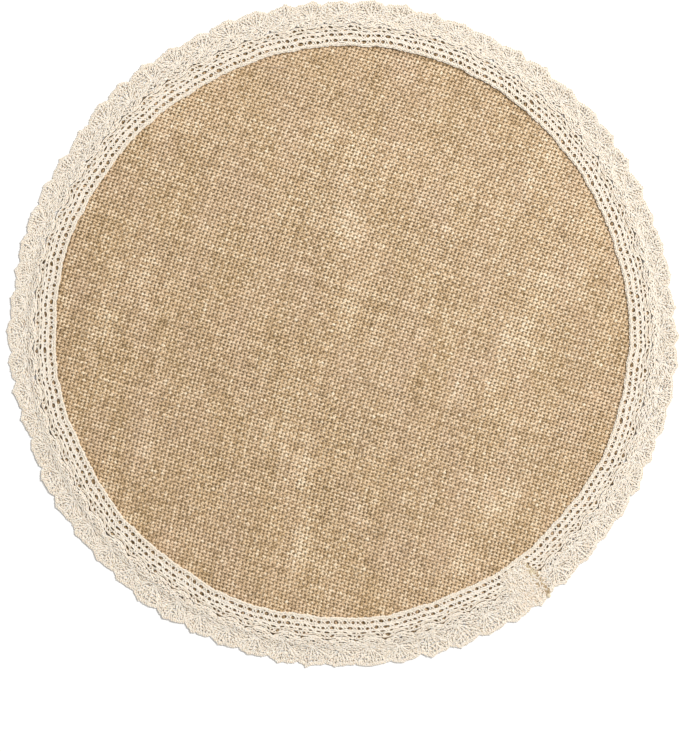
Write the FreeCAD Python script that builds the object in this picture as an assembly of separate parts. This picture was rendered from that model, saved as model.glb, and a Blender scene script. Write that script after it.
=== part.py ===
"""Round jute table and tree skirt with a crocheted cotton lace rim.

Millimetres. The origin is the centre of the underside, +Z is up, and the skirt lies flat on z = 0.
The burlap panel is an uncut disc. The lace tape lies on the panel's rim, then drops over its edge
and rests on the table. Every sewing thread is its own piece, let into the cloth that it holds.
"""

import FreeCAD, Part
import math
import os

from FreeCAD import Vector

# Overall sizes
OVERALL_DIAMETER = 381.0     # tip to tip of the scallops, 15 in
LACE_WIDTH = 29.5            # from the lace's inner edge to a scallop's tip
PANEL_UNDERLAP = 13.0        # how far the burlap runs out under the lace
PANEL_THICKNESS = 1.3        # two crossed jute yarns, pressed flat
LACE_THICKNESS = 1.0         # one layer of cotton crochet

# Lace tape, counted outwards from its inner edge
HEADING_WIDTH = 2.0          # the plaited edge that is sewn down
NET_WIDTH = 10.4             # the rows of eyelets
SCALLOP_PITCH = 17.6         # along the circle through the tips
SCALLOP_DEPTH = 3.4          # from a valley to a tip
EYELETS_PER_SCALLOP = 3
DROP_CLEARANCE = 0.6         # from the bound edge to where the lace starts to drop
DROP_RUN = 4.0               # how far the lace takes to reach the table

# Eyelet rows: distance from the inner edge, length round the rim, height across it, stagger
EYELET_ROWS = (
    (3.2, 2.4, 1.6, 0.0),
    (6.3, 2.4, 1.5, 0.5),
    (8.4, 2.6, 0.7, 0.0),
    (10.7, 1.8, 0.8, 0.5),
)
SEAMED_ROWS = EYELET_ROWS[2:]    # the two rows that the rim seam runs between

# Sewing
THREAD_WIDTH = 0.5
THREAD_DEPTH = 0.35          # how deep a thread beds into the cloth
THREAD_PROUD = 0.1           # how far a needle thread stands above the lace
HEADING_SEAM_OFFSET = 1.0    # from the lace's inner edge
OVERLOCK_THICKNESS = 0.3
OVERLOCK_CLEARANCE = 0.3     # from the rim seam to the edge binding's inner turn

# Join, where the tape's two ends lap at about five o'clock
LAP_ANGLE = -51.5            # the seam along the upper end, degrees from +X
LAP_LENGTH = 17.0            # along the lace's inner edge
LAP_THICKNESS = 0.9
JOIN_SEAM_INSET = 1.2        # from the lap's end to its line of stitches
JOIN_SEAM_MARGIN = 1.5       # from the lace's inner edge, and from a valley, to the join's end stitches
JOIN_SEAM_START = 0.75       # from the rim seam to the join's first stitch underneath

# Derived places
TIP_RADIUS = OVERALL_DIAMETER / 2
LACE_INNER_RADIUS = TIP_RADIUS - LACE_WIDTH
HEADING_OUTER_RADIUS = LACE_INNER_RADIUS + HEADING_WIDTH
NET_OUTER_RADIUS = HEADING_OUTER_RADIUS + NET_WIDTH
VALLEY_RADIUS = TIP_RADIUS - SCALLOP_DEPTH
PANEL_RADIUS = LACE_INNER_RADIUS + PANEL_UNDERLAP
BOUND_RADIUS = PANEL_RADIUS + OVERLOCK_THICKNESS
DROP_START = BOUND_RADIUS + DROP_CLEARANCE
DROP_END = DROP_START + DROP_RUN
LACE_TOP = PANEL_THICKNESS + LACE_THICKNESS
HEADING_SEAM_RADIUS = LACE_INNER_RADIUS + HEADING_SEAM_OFFSET
ROW_GAP_LOW = SEAMED_ROWS[0][0] + SEAMED_ROWS[0][2] / 2
ROW_GAP_HIGH = SEAMED_ROWS[1][0] - SEAMED_ROWS[1][2] / 2
RIM_SEAM_RADIUS = LACE_INNER_RADIUS + (ROW_GAP_LOW + ROW_GAP_HIGH) / 2
OVERLOCK_INNER_RADIUS = RIM_SEAM_RADIUS + THREAD_WIDTH / 2 + OVERLOCK_CLEARANCE
SCALLOP_COUNT = 4 * round(math.pi * OVERALL_DIAMETER / (4 * SCALLOP_PITCH))
SEAT_RADIUS = LACE_INNER_RADIUS
CUT_HEIGHT = 4 * LACE_TOP    # taller than everything that a cutter goes through

UP = Vector(0, 0, 1)
CENTRE = Vector(0, 0, 0)


def polar(radius, degrees, z=0.0):
    """The point at this radius and angle round the skirt."""
    turn = math.radians(degrees)
    return Vector(radius * math.cos(turn), radius * math.sin(turn), z)


def disc(radius, low, high):
    """A solid disc about the Z axis."""
    return Part.makeCylinder(radius, high - low, Vector(0, 0, low))


def ring(inner, outer, low, high):
    """A flat ring of rectangular section about the Z axis."""
    return disc(outer, low, high).cut(disc(inner, low, high))


def spun(section, start=0.0, sweep=360.0):
    """The closed section, a list of (radius, z), turned about the Z axis."""
    points = [Vector(radius, 0, z) for radius, z in section]
    face = Part.Face(Part.makePolygon(points + points[:1]))
    face.rotate(CENTRE, UP, start)
    return face.revolve(CENTRE, UP, sweep)


def draped(low, thickness, start=0.0, sweep=360.0):
    """A layer of this thickness on the lace's own path: flat on the burlap, down, flat on the table."""
    beyond = TIP_RADIUS + THREAD_WIDTH
    under = [
        (LACE_INNER_RADIUS, PANEL_THICKNESS + low),
        (DROP_START, PANEL_THICKNESS + low),
        (DROP_END, low),
        (beyond, low),
    ]
    over = [(radius, z + thickness) for radius, z in reversed(under)]
    return spun(under + over, start, sweep)


def scallop_blank():
    """A tall prism whose outline is one arc per scallop, to trim the lace's outer edge."""
    step = 360.0 / SCALLOP_COUNT
    arcs = []
    for k in range(SCALLOP_COUNT):
        left = polar(VALLEY_RADIUS, (k - 0.5) * step)
        tip = polar(TIP_RADIUS, k * step)
        right = polar(VALLEY_RADIUS, (k + 0.5) * step)
        arcs.append(Part.Arc(left, tip, right).toShape())
    return Part.Face(Part.Wire(arcs)).extrude(Vector(0, 0, CUT_HEIGHT))


def slot_cutter(offset, length, height):
    """A tall round-ended slot that lies along the rim, this far from the lace's inner edge."""
    radius = height / 2
    middle = LACE_INNER_RADIUS + offset
    run = (length - height) / 2
    corners = [
        Vector(middle + radius, -run, 0),
        Vector(middle + radius, run, 0),
        Vector(middle - radius, run, 0),
        Vector(middle - radius, -run, 0),
    ]
    edges = [
        Part.LineSegment(corners[0], corners[1]).toShape(),
        Part.Arc(corners[1], Vector(middle, run + radius, 0), corners[2]).toShape(),
        Part.LineSegment(corners[2], corners[3]).toShape(),
        Part.Arc(corners[3], Vector(middle, -run - radius, 0), corners[0]).toShape(),
    ]
    return Part.Face(Part.Wire(edges)).extrude(Vector(0, 0, CUT_HEIGHT))


def eyelet_cutters():
    """One tall cutter for each eyelet, row by row."""
    per_row = SCALLOP_COUNT * EYELETS_PER_SCALLOP
    step = 360.0 / per_row
    cutters = []
    for offset, length, height, stagger in EYELET_ROWS:
        for k in range(per_row):
            cutter = slot_cutter(offset, length, height)
            cutter.rotate(CENTRE, UP, (k + stagger) * step)
            cutters.append(cutter)
    return Part.makeCompound(cutters)


def seam_ring(radius, low, high):
    """One seam's thread as a continuous flat ring."""
    half = THREAD_WIDTH / 2
    return ring(radius - half, radius + half, low, high)


def needle_thread(radius):
    """The thread that shows on the lace's upper face."""
    return seam_ring(radius, LACE_TOP - THREAD_DEPTH, LACE_TOP + THREAD_PROUD)


def bobbin_thread(radius):
    """The thread let into the burlap's underside."""
    return seam_ring(radius, 0.0, THREAD_DEPTH)


def overlock_thread():
    """The binding wrapped round the burlap's cut edge, a C in section."""
    inner = OVERLOCK_INNER_RADIUS
    top = PANEL_THICKNESS
    wall = OVERLOCK_THICKNESS
    return spun([
        (inner, 0.0),
        (BOUND_RADIUS, 0.0),
        (BOUND_RADIUS, top),
        (inner, top),
        (inner, top - wall),
        (PANEL_RADIUS, top - wall),
        (PANEL_RADIUS, wall),
        (inner, wall),
    ])


def burlap_panel():
    """The uncut jute disc. The circle on its top face is the edge of the open middle, inside the lace."""
    middle = disc(SEAT_RADIUS, 0.0, PANEL_THICKNESS)
    rim = ring(SEAT_RADIUS, PANEL_RADIUS, 0.0, PANEL_THICKNESS)
    return middle.fuse(rim)


def lap_sweep():
    """The lap's length as an angle."""
    return math.degrees(LAP_LENGTH / LACE_INNER_RADIUS)


def lace_lap(blank):
    """The tape's upper end, lying on the lower end across the whole width."""
    layer = draped(LACE_THICKNESS, LAP_THICKNESS, LAP_ANGLE - lap_sweep(), lap_sweep())
    return layer.common(blank)


def radial_bar(inner, outer, width, low, high, degrees):
    """A straight bar along the radius at this angle."""
    bar = Part.makeBox(outer - inner, width, high - low, Vector(inner, -width / 2, low))
    bar.rotate(CENTRE, UP, degrees)
    return bar


def join_angle():
    """The angle of the line of stitches across the lap."""
    return LAP_ANGLE - math.degrees(JOIN_SEAM_INSET / VALLEY_RADIUS)


def join_needle_thread():
    """The stitches across the lap, following it down over the burlap's edge."""
    layer = draped(LACE_THICKNESS + LAP_THICKNESS - THREAD_DEPTH, THREAD_DEPTH + THREAD_PROUD)
    line = radial_bar(
        LACE_INNER_RADIUS + JOIN_SEAM_MARGIN,
        VALLEY_RADIUS - JOIN_SEAM_MARGIN,
        THREAD_WIDTH,
        0.0,
        CUT_HEIGHT,
        join_angle(),
    )
    return layer.common(line)


def join_bobbin_thread():
    """The same seam's thread underneath, outside the rim seam."""
    return radial_bar(
        RIM_SEAM_RADIUS + JOIN_SEAM_START,
        VALLEY_RADIUS - JOIN_SEAM_MARGIN,
        THREAD_WIDTH,
        0.0,
        THREAD_DEPTH,
        join_angle(),
    )


def build():
    """Every piece of the skirt by name, none of them overlapping another."""
    blank = scallop_blank()
    lace = draped(0.0, LACE_THICKNESS).common(blank)
    net_blank = ring(HEADING_OUTER_RADIUS, NET_OUTER_RADIUS, 0.0, CUT_HEIGHT)

    heading_needle = needle_thread(HEADING_SEAM_RADIUS)
    heading_bobbin = bobbin_thread(HEADING_SEAM_RADIUS)
    rim_needle = needle_thread(RIM_SEAM_RADIUS)
    rim_bobbin = bobbin_thread(RIM_SEAM_RADIUS)
    join_needle = join_needle_thread()
    join_bobbin = join_bobbin_thread()
    overlock = overlock_thread()

    panel = burlap_panel().cut([overlock, heading_bobbin, rim_bobbin, join_bobbin])
    heading = lace.common(disc(HEADING_OUTER_RADIUS, 0.0, CUT_HEIGHT)).cut(heading_needle)
    net = lace.common(net_blank).cut(rim_needle).cut(eyelet_cutters())
    shells = lace.cut(disc(NET_OUTER_RADIUS, 0.0, CUT_HEIGHT)).cut(join_bobbin)
    lap = lace_lap(blank).cut([heading_needle, rim_needle, join_needle])
    return {
        "burlap_panel": panel,
        "edge_overlock_thread": overlock.cut(join_bobbin),
        "lace_heading": heading,
        "lace_eyelet_net": net,
        "lace_shell_edge": shells,
        "lace_lapped_end": lap,
        "heading_needle_thread": heading_needle,
        "heading_bobbin_thread": heading_bobbin,
        "rim_needle_thread": rim_needle,
        "rim_bobbin_thread": rim_bobbin,
        "join_needle_thread": join_needle,
        "join_bobbin_thread": join_bobbin,
    }


def main():
    """Build every piece, test it and write its STEP file."""
    os.makedirs("parts", exist_ok=True)
    for name, shape in build().items():
        solids = shape.Solids
        if not solids or not all(solid.isValid() and solid.isClosed() for solid in solids):
            raise RuntimeError(f"{name} is not a sound solid")
        whole = solids[0] if len(solids) == 1 else Part.makeCompound(solids)
        whole.exportStep(f"parts/{name}.step")
        box = whole.BoundBox
        print(
            f"{name}: {len(solids)} solid, {whole.Volume:.0f} mm3, "
            f"z {box.ZMin:.2f} to {box.ZMax:.2f}, across {box.XLength:.2f} x {box.YLength:.2f}"
        )


main()
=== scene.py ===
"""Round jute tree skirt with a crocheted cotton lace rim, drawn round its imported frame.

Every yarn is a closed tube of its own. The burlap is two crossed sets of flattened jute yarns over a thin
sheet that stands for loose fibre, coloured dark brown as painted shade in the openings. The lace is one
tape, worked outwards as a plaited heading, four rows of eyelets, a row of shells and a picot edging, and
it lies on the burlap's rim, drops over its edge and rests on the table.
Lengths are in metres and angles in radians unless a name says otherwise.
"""

import logging
import math
from dataclasses import dataclass, field
from enum import Enum

import bpy
import mathutils
import numpy as np
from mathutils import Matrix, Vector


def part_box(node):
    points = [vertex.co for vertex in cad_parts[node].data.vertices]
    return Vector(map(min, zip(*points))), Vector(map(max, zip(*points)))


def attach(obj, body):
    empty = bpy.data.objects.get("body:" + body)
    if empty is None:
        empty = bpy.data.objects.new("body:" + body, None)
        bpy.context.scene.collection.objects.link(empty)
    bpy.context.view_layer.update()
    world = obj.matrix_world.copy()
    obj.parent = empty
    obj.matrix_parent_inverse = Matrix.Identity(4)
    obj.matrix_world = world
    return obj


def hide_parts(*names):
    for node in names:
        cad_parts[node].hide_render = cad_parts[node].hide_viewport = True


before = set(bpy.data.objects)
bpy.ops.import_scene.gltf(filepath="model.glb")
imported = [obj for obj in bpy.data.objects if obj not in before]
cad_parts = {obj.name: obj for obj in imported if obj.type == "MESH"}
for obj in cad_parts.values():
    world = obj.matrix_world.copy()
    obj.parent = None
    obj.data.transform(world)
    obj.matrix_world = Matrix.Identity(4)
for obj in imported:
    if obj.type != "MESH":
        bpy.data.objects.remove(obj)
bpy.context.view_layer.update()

MM = 0.001
TURN = 2 * math.pi
YARN_MAP = "Yarn"
SHADE = "shade"

log = logging.getLogger("tree_skirt")


class Slot(Enum):
    """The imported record's material slots."""

    JUTE = "jute_burlap"
    LACE = "cotton_lace"
    SEWING = "sewing_thread"
    JOIN = "join_thread"


# ---------------------------------------------------------------- colour and nodes


def linear(code: str) -> tuple[float, float, float, float]:
    """Turn an sRGB hex colour into linear values.

    Args:
        code: Six hex digits, such as "c8ab8a".

    Returns:
        Linear red, green and blue, and an alpha of 1.
    """
    srgb = [int(code[i : i + 2], 16) / 255 for i in (0, 2, 4)]
    red, green, blue = (c / 12.92 if c <= 0.04045 else ((c + 0.055) / 1.055) ** 2.4 for c in srgb)
    return red, green, blue, 1.0


class Nodes:
    """One material's node tree."""

    def __init__(self, name: str) -> None:
        """Start an empty material with this name."""
        self.material = bpy.data.materials.new(name)
        self.material.use_nodes = True
        self.tree = self.material.node_tree
        self.tree.nodes.clear()

    def add(self, kind: str, values: dict | None = None, **settings: object) -> bpy.types.Node:
        """Add a node, set it up and wire it.

        Args:
            kind: The node's type, without its "ShaderNode" start.
            values: Input socket by name or number, to a value or to the output socket that feeds it.
            **settings: The node's own properties.

        Returns:
            The new node.
        """
        node = self.tree.nodes.new("ShaderNode" + kind)
        for key, value in settings.items():
            setattr(node, key, value)
        for socket, value in (values or {}).items():
            if isinstance(value, bpy.types.NodeSocket):
                self.tree.links.new(value, node.inputs[socket])
            else:
                node.inputs[socket].default_value = value
        return node


def fill_ramp(node: bpy.types.Node, stops: list[tuple[float, str]]) -> bpy.types.NodeSocket:
    """Set a ramp's stops, given as (place, hex colour) in rising order, and return its colour output."""
    band = node.color_ramp
    for place, _ in stops[2:]:
        band.elements.new(place)
    for element, (place, code) in zip(band.elements, stops):
        element.position = place
        element.color = linear(code)
    return node.outputs[0]


# ---------------------------------------------------------------- finishes


@dataclass(frozen=True)
class YarnFinish:
    """A spun yarn: staple fibres twisted into plies, which show as slanting ridges along it.

    The colour runs from the deep tone between fibres to the pale tone on top of them, and each yarn's own
    shade moves it along that run. Noise stretched along the yarn gives the fibres, and broad noise gives
    the lot its uneven dye.
    """

    name: str
    deep: str
    middle: str
    pale: str
    patch: str
    patch_size: float = 60 * MM
    patch_amount: float = 0.2
    patch_stretch: float = 1.0
    twist_length: float = 0.9 * MM
    plies: int = 2
    fibre_width: float = 0.04 * MM
    fibre_contrast: float = 0.5
    relief: float = 0.05 * MM
    roughness: float = 0.6
    sheen: float = 0.1
    glow: float = 0.2
    ply_contrast: float = 0.09

    def material(self) -> bpy.types.Material:
        """Build the yarn's material.

        Returns:
            A Principled material with colour and bump from the yarn's own map.
        """
        n = Nodes(self.name)
        along_round = n.add("UVMap", uv_map=YARN_MAP).outputs[0]
        part = n.add("SeparateXYZ", {0: along_round})
        along, around = part.outputs[0], part.outputs[1]
        # Ply ridges: a cosine of the length in twists plus the way round in plies.
        twists = n.add("Math", {0: along, 1: self.twist_length}, operation="DIVIDE").outputs[0]
        plies = n.add("Math", {0: around, 1: self.plies}, operation="MULTIPLY").outputs[0]
        winding = n.add("Math", {0: twists, 1: plies}, operation="ADD").outputs[0]
        turned = n.add("Math", {0: winding, 1: TURN}, operation="MULTIPLY").outputs[0]
        ridge = n.add("Math", {0: turned}, operation="COSINE").outputs[0]
        # Fibres: noise that is many times longer along the yarn than across it.
        shade = n.add("Attribute", attribute_name=SHADE).outputs[2]
        lengths = n.add("Math", {0: along, 1: self.fibre_width * 9}, operation="DIVIDE").outputs[0]
        rounds = n.add("Math", {0: around, 1: 7.0}, operation="MULTIPLY").outputs[0]
        fibre_place = n.add("CombineXYZ", {0: lengths, 1: rounds, 2: shade}).outputs[0]
        fibre = n.add(
            "TexNoise", {"Vector": fibre_place, "Scale": 1.0, "Detail": 3.0, "Roughness": 0.6}
        ).outputs[0]
        swing = n.add("Math", {0: fibre, 1: 0.5}, operation="SUBTRACT").outputs[0]
        fibrous = {0: swing, 1: self.fibre_contrast, 2: shade}
        tone = n.add("Math", fibrous, operation="MULTIPLY_ADD").outputs[0]
        # Painted shade and highlight: the ply ridge darkens the colour in the grooves between plies and
        # lightens it on their crests.
        ridged = {0: ridge, 1: self.ply_contrast, 2: tone}
        tone = n.add("Math", ridged, operation="MULTIPLY_ADD").outputs[0]
        stops = [(0.0, self.deep), (0.5, self.middle), (1.0, self.pale)]
        own = fill_ramp(n.add("ValToRGB", {0: tone}), stops)
        # Uneven dye: broad spots of another tone laid over the yarn's own.
        place = n.add("TexCoord").outputs["Object"]
        stretch = (1.0, self.patch_stretch, 1.0)
        stretched = n.add("VectorMath", {0: place, 1: stretch}, operation="MULTIPLY").outputs[0]
        broad = {"Vector": stretched, "Scale": 1 / self.patch_size, "Detail": 2.0, "Roughness": 0.5}
        spot = n.add("TexNoise", broad).outputs[0]
        spread = n.add("MapRange", {0: spot, 1: 0.42, 2: 0.68, 3: 0.0, 4: self.patch_amount}).outputs[0]
        dyed = {0: spread, 6: own, 7: linear(self.patch)}
        colour = n.add("Mix", dyed, data_type="RGBA").outputs[2]
        height = n.add("Math", {0: ridge, 1: 0.35, 2: fibre}, operation="MULTIPLY_ADD").outputs[0]
        bump = n.add("Bump", {"Height": height, "Strength": 0.8, "Distance": self.relief}).outputs[0]
        shader = n.add(
            "BsdfPrincipled",
            {
                "Base Color": colour,
                "Normal": bump,
                "Roughness": self.roughness,
                "Sheen Weight": self.sheen,
                "Sheen Roughness": 0.5,
                "Subsurface Weight": self.glow,
                "Subsurface Radius": (1.0, 0.85, 0.7),
                "Subsurface Scale": 0.4 * MM,
                "Specular IOR Level": 0.25,
            },
        )
        n.add("OutputMaterial", {"Surface": shader.outputs[0]})
        return n.material


@dataclass(frozen=True)
class PaintedShadeWebFinish:
    """A sheet in the burlap's openings that stands for loose jute fibre, coloured dull brown as painted shade
    of the yarns over it.
    """

    name: str = "painted shade web for loose jute fibre"
    # The web's dark and light tones are painted shade, the shade that falls between the yarns.
    dark: str = "4a3b24"
    light: str = "857049"
    grain: float = 0.6 * MM
    cloud: float = 40 * MM

    def material(self) -> bpy.types.Material:
        """Build the web's material."""
        n = Nodes(self.name)
        place = n.add("TexCoord").outputs["Object"]
        tangle = n.add("TexNoise", {"Vector": place, "Scale": 1 / self.grain, "Detail": 4.0}).outputs[0]
        broad = n.add("TexNoise", {"Vector": place, "Scale": 1 / self.cloud, "Detail": 2.0}).outputs[0]
        half_tangle = n.add("Math", {0: tangle, 1: 0.5}, operation="MULTIPLY").outputs[0]
        tone = n.add("Math", {0: broad, 1: 0.5, 2: half_tangle}, operation="MULTIPLY_ADD").outputs[0]
        colour = fill_ramp(n.add("ValToRGB", {0: tone}), [(0.3, self.dark), (0.7, self.light)])
        bump = n.add("Bump", {"Height": tangle, "Strength": 0.6, "Distance": 0.2 * MM}).outputs[0]
        shader = n.add("BsdfPrincipled", {"Base Color": colour, "Normal": bump, "Roughness": 0.95})
        n.add("OutputMaterial", {"Surface": shader.outputs[0]})
        return n.material


@dataclass(frozen=True)
class PaintedTableFinish:
    """The matt white table: plain, and bright enough to read as white under the studio light."""

    name: str = "matt white table"
    colour: str = "fbfbfb"

    def material(self) -> bpy.types.Material:
        """Build the table's material."""
        n = Nodes(self.name)
        shader = n.add("BsdfPrincipled", {"Base Color": linear(self.colour), "Roughness": 0.9})
        n.add("OutputMaterial", {"Surface": shader.outputs[0]})
        return n.material


# Hard bast fibre, carded and loosely spun: dry, hairy and unevenly tan, with painted shade in the gaps
# between plies and painted highlight on their crests.
JUTE = YarnFinish(
    name="carded jute yarn",
    deep="7f6842",
    middle="debc92",
    pale="fff3d9",
    patch="e6cab6",
    patch_size=24 * MM,
    patch_stretch=0.5,
    twist_length=1.7 * MM,
    plies=3,
    fibre_width=0.12 * MM,
    fibre_contrast=1.6,
    relief=0.15 * MM,
    roughness=0.85,
    sheen=0.15,
    glow=0.0,
    ply_contrast=0.2,
)

# Soft unbleached cotton, plied round: creamy and matt, with light glowing a little way into it.
COTTON = YarnFinish(
    name="ecru crochet cotton",
    deep="cfb99c",
    middle="f4e7d5",
    pale="fef8ee",
    patch="f6eadb",
    twist_length=1.6 * MM,
    plies=3,
    fibre_width=0.05 * MM,
    relief=0.08 * MM,
    roughness=0.8,
    sheen=0.25,
    glow=0.25,
)

# Hard-spun two-ply thread: smooth and even, so a seam reads as a thin clean line on the lace.
SEWING_THREAD = YarnFinish(
    name="spun polyester sewing thread",
    deep="cfc0a4",
    middle="efe5d3",
    pale="fdf6ea",
    patch="f3eadb",
    fibre_contrast=0.3,
)

# The same thread, coloured a brown darker than the jute as painted shade, so the bound edge stays dark behind
# the eyelets.
BINDING_THREAD = YarnFinish(
    name="overlock thread darkened as painted shade",
    deep="5f4b30",
    middle="8f754f",
    pale="b89c72",
    patch="8a7250",
    patch_size=20 * MM,
    patch_amount=0.3,
    fibre_contrast=0.4,
    roughness=0.7,
    glow=0.0,
)

# Tan thread in short visible stretches: brown flecks that come and go across the join.
JOIN_THREAD = YarnFinish(
    name="tan spun polyester thread",
    deep="a48a66",
    middle="dccbaa",
    pale="f1e5cb",
    patch="a98862",
    patch_size=3 * MM,
    patch_amount=0.55,
)


# ---------------------------------------------------------------- yarn geometry


def smooth_noise(
    rng: np.random.Generator, shape: tuple[int, int], steps: np.ndarray, size: float
) -> np.ndarray:
    """Gentle unevenness along each strand.

    It is the sum of four sine waves whose lengths are size times 1, 2.3, 5.1 and 11.7, each strand with its
    own phases, scaled to about -1 to 1.

    Args:
        rng: The seeded source of phases.
        shape: Number of strands and of rings.
        steps: Distance along the strand of each ring, in a shape that broadcasts to shape.
        size: The shortest wave, in the unit of steps.

    Returns:
        An array of the given shape.
    """
    total = np.zeros(shape)
    for stretch in (1.0, 2.3, 5.1, 11.7):
        phase = rng.uniform(0, TURN, (shape[0], 1))
        total += np.sin(TURN * steps / (size * stretch) + phase)
    return total / 2.6


@dataclass
class Strands:
    """A bundle of yarns that becomes one mesh of closed tubes."""

    name: str
    parts: list[dict] = field(default_factory=list)

    def add(
        self,
        path: np.ndarray,
        half_width: np.ndarray | float,
        half_height: np.ndarray | float,
        shade: np.ndarray | float = 0.5,
        sides: int = 6,
        loop: bool = False,
        keep: np.ndarray | None = None,
    ) -> None:
        """Wrap tubes round some paths.

        A ring's points are the path's point, plus cos(a) times the half width along the level direction
        square to the path, plus sin(a) times the half height along the direction square to both.

        Args:
            path: Points, as strands x rings x 3.
            half_width: Half the yarn's width, level and across it.
            half_height: Half the yarn's thickness.
            shade: The yarn's place on its colour run, from 0 to 1.
            sides: Points in a ring.
            loop: Whether each strand's last ring joins its first.
            keep: Which rings exist, as strands x rings; by default all of them.
        """
        strands, rings = path.shape[:2]
        if loop:
            ahead = np.roll(path, -1, axis=1) - np.roll(path, 1, axis=1)
        else:
            ahead = np.gradient(path, axis=1)
        ahead /= np.linalg.norm(ahead, axis=2, keepdims=True)
        side = np.stack([ahead[..., 1], -ahead[..., 0], np.zeros((strands, rings))], axis=2)
        side /= np.maximum(np.linalg.norm(side, axis=2, keepdims=True), 1e-9)
        up = np.cross(side, ahead)
        turn = TURN * (np.arange(sides) / sides + 0.25)
        wide = np.broadcast_to(half_width, (strands, rings))[..., None, None]
        high = np.broadcast_to(half_height, (strands, rings))[..., None, None]
        points = (
            path[:, :, None, :]
            + np.cos(turn)[None, None, :, None] * wide * side[:, :, None, :]
            + np.sin(turn)[None, None, :, None] * high * up[:, :, None, :]
        )
        stride = np.linalg.norm(np.diff(path, axis=1, append=path[:, :1]), axis=2)
        along = np.concatenate([np.zeros((strands, 1)), np.cumsum(stride, axis=1)], axis=1)
        self.parts.append(
            {
                "points": points,
                "along": along,
                "shade": np.broadcast_to(shade, (strands, rings)),
                "loop": loop,
                "keep": np.ones((strands, rings), bool) if keep is None else keep,
            }
        )

    def halve(self, other: "Strands") -> None:
        """Move the second half of this bundle's strands to another bundle."""
        for part in self.parts:
            half = len(part["points"]) // 2
            other.parts.append({k: v if k == "loop" else v[half:] for k, v in part.items()})
            part.update({k: v if k == "loop" else v[:half] for k, v in part.items()})

    def mesh(self) -> bpy.types.Object:
        """Write the bundle as one mesh object, with its yarn map and shades.

        Returns:
            The new object, linked to the scene.
        """
        verts, shades, corners, starts, maps = [], [], [], [], []
        base = 0
        for part in self.parts:
            block = _tube_faces(part, base)
            verts.append(block["verts"])
            shades.append(block["shade"])
            corners += block["corners"]
            starts += block["sizes"]
            maps += block["maps"]
            base += len(block["verts"])
        return _write_mesh(self.name, np.concatenate(verts), corners, starts, maps, np.concatenate(shades))


def _tube_faces(part: dict, base: int) -> dict:
    """Number a block of tubes' points and list their faces.

    A side face joins two neighbouring points of a ring to the same two of the next ring. An end is one
    face round the ring.

    Args:
        part: A block made by Strands.add.
        base: The number of the block's first point.

    Returns:
        The kept points and shades, and the faces' corners, sizes and map places.
    """
    points, keep, along = part["points"], part["keep"], part["along"]
    strands, rings, sides = points.shape[:3]
    number = np.full((strands, rings), -1)
    number[keep] = np.arange(int(keep.sum()))
    after = np.roll(number, -1, axis=1)
    if not part["loop"]:
        after[:, -1] = -1
    joined = keep & (after >= 0)
    here, there = number[joined], after[joined]
    k = np.arange(sides)
    k_next = (k + 1) % sides
    quads = np.stack(
        [
            here[:, None] * sides + k,
            there[:, None] * sides + k,
            there[:, None] * sides + k_next,
            here[:, None] * sides + k_next,
        ],
        axis=2,
    ).reshape(-1, 4)
    low = along[:, :-1][joined][:, None].repeat(sides, 1)
    high = along[:, 1:][joined][:, None].repeat(sides, 1)
    left = np.broadcast_to(k / sides, low.shape)
    right = np.broadcast_to((k + 1) / sides, low.shape)
    maps = [np.stack([low, left, high, left, high, right, low, right], axis=2).reshape(-1, 2)]
    corners = [quads.ravel() + base]
    sizes = [np.full(len(quads), 4)]
    before = np.roll(number, 1, axis=1)
    if not part["loop"]:
        before[:, 0] = -1
        for ends, order in ((keep & (before < 0), k), (keep & (after < 0), k[::-1])):
            caps = number[ends][:, None] * sides + order
            corners.append(caps.ravel() + base)
            sizes.append(np.full(len(caps), sides))
            flat = np.broadcast_to(along[:, :-1][ends][:, None], caps.shape)
            maps.append(np.stack([flat, np.broadcast_to(order / sides, caps.shape)], axis=2).reshape(-1, 2))
    return {
        "verts": points[keep].reshape(-1, 3),
        "shade": np.repeat(part["shade"][keep], sides),
        "corners": corners,
        "sizes": sizes,
        "maps": maps,
    }


def _write_mesh(
    name: str,
    verts: np.ndarray,
    corners: list[np.ndarray],
    sizes: list[np.ndarray],
    maps: list[np.ndarray],
    shade: np.ndarray,
) -> bpy.types.Object:
    """Put whole arrays into a new mesh object.

    Args:
        name: The object's name.
        verts: Points, n x 3.
        corners: Point numbers of the faces' corners, in blocks.
        sizes: Corners to a face, in matching blocks.
        maps: Yarn map place of each corner, in matching blocks.
        shade: One value per point.

    Returns:
        The new object, linked to the scene.
    """
    corner, size = np.concatenate(corners), np.concatenate(sizes)
    mesh = bpy.data.meshes.new(name)
    mesh.vertices.add(len(verts))
    mesh.vertices.foreach_set("co", verts.astype(np.float32).ravel())
    mesh.loops.add(len(corner))
    mesh.loops.foreach_set("vertex_index", corner.astype(np.int32))
    mesh.polygons.add(len(size))
    mesh.polygons.foreach_set("loop_start", (np.cumsum(size) - size).astype(np.int32))
    mesh.polygons.foreach_set("loop_total", size.astype(np.int32))
    mesh.polygons.foreach_set("use_smooth", np.ones(len(size), bool))
    layer = mesh.uv_layers.new(name=YARN_MAP)
    layer.uv.foreach_set("vector", np.concatenate(maps).astype(np.float32).ravel())
    values = mesh.attributes.new(SHADE, "FLOAT", "POINT")
    values.data.foreach_set("value", shade.astype(np.float32))
    mesh.update(calc_edges=True)
    mesh.validate()
    piece = bpy.data.objects.new(name, mesh)
    bpy.context.scene.collection.objects.link(piece)
    return piece


def dress(piece: bpy.types.Object, material: bpy.types.Material, slot: Slot, *nodes: str) -> bpy.types.Object:
    """Give a piece its finish and its place on the skirt, and hide the CAD nodes that it stands for.

    Args:
        piece: The new piece.
        material: Its finish.
        slot: The record's slot that the finish stands for. Not used.
        *nodes: The CAD nodes that the piece stands for.

    Returns:
        The same piece.
    """
    piece.data.materials.append(material)
    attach(piece, "root")
    if nodes:
        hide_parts(*nodes)
    log.info("%s: %d faces", piece.name, len(piece.data.polygons))
    return piece


# ---------------------------------------------------------------- the skirt's shape


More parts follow.
